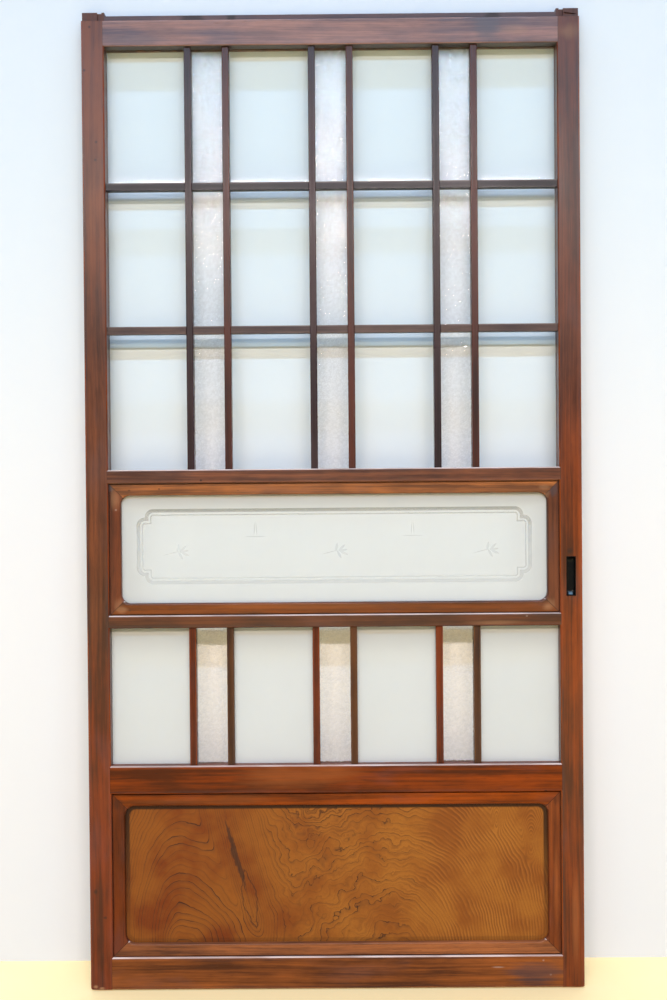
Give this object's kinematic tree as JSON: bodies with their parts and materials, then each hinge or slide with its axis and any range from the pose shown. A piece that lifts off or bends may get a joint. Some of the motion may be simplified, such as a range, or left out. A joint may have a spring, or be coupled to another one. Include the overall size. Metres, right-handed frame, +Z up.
{
  "type": "sliding glass door leaf",
  "caption": "Sliding door leaf of stained wood: a glazed lattice, an etched pane in a mitred frame, a frosted band and a figured wood panel.",
  "frame": {"origin": "middle of the bottom edge, half way through the thickness", "axes": "+X to the right seen from the front, +Y from the front to the back, +Z up"},
  "size_m": [0.89, 0.03, 1.7605],
  "materials": {
    "frame_wood": "red-brown stain under satin lacquer",
    "lattice_wood": "dark red-brown stain under satin lacquer",
    "moulding_wood": "orange-brown stain under satin lacquer, worn at the mitres",
    "panel_wood": "golden brown figured board, lacquered",
    "clear_glass": "clear sheet glass",
    "textured_glass": "pebbled rolled glass",
    "frosted_glass": "frosted glass",
    "etched_glass": "frosted glass with a clear etched border",
    "pull_metal": "gloss black",
    "roller_steel": "dull zinc plated",
    "roller_brass": "worn"
  },
  "bodies": {
    "root": {"left_stile": "frame_wood", "right_stile": "frame_wood", "top_rail": "frame_wood", "upper_mid_rail": "frame_wood", "middle_rail": "frame_wood", "lower_mid_rail": "frame_wood", "bottom_rail": "frame_wood", "upper_bar_1": "lattice_wood", "upper_bar_2": "lattice_wood", "upper_bar_3": "lattice_wood", "upper_bar_4": "lattice_wood", "upper_bar_5": "lattice_wood", "upper_bar_6": "lattice_wood", "lower_bar_1": "lattice_wood", "lower_bar_2": "lattice_wood", "lower_bar_3": "lattice_wood", "lower_bar_4": "lattice_wood", "lower_bar_5": "lattice_wood", "lower_bar_6": "lattice_wood", "upper_cross_bar_1": "lattice_wood", "upper_cross_bar_2": "lattice_wood", "upper_rear_strips": "lattice_wood", "lower_rear_strips": "lattice_wood", "upper_edge_beads": "lattice_wood", "lower_edge_beads": "lattice_wood", "etched_frame_bottom": "moulding_wood", "etched_frame_top": "moulding_wood", "etched_frame_left": "moulding_wood", "etched_frame_right": "moulding_wood", "panel_frame_bottom": "moulding_wood", "panel_frame_top": "moulding_wood", "panel_frame_left": "moulding_wood", "panel_frame_right": "moulding_wood", "wood_panel": "panel_wood", "upper_clear_panes": "clear_glass", "upper_textured_panes": "textured_glass", "lower_textured_panes": "textured_glass", "lower_frosted_panes": "frosted_glass", "etched_glass": "etched_glass", "finger_pull_front": "pull_metal", "finger_pull_back": "pull_metal", "roller_housings": "roller_steel", "roller_axles": "roller_steel", "roller_wheels": "roller_brass"}
  },
  "joints": []
}
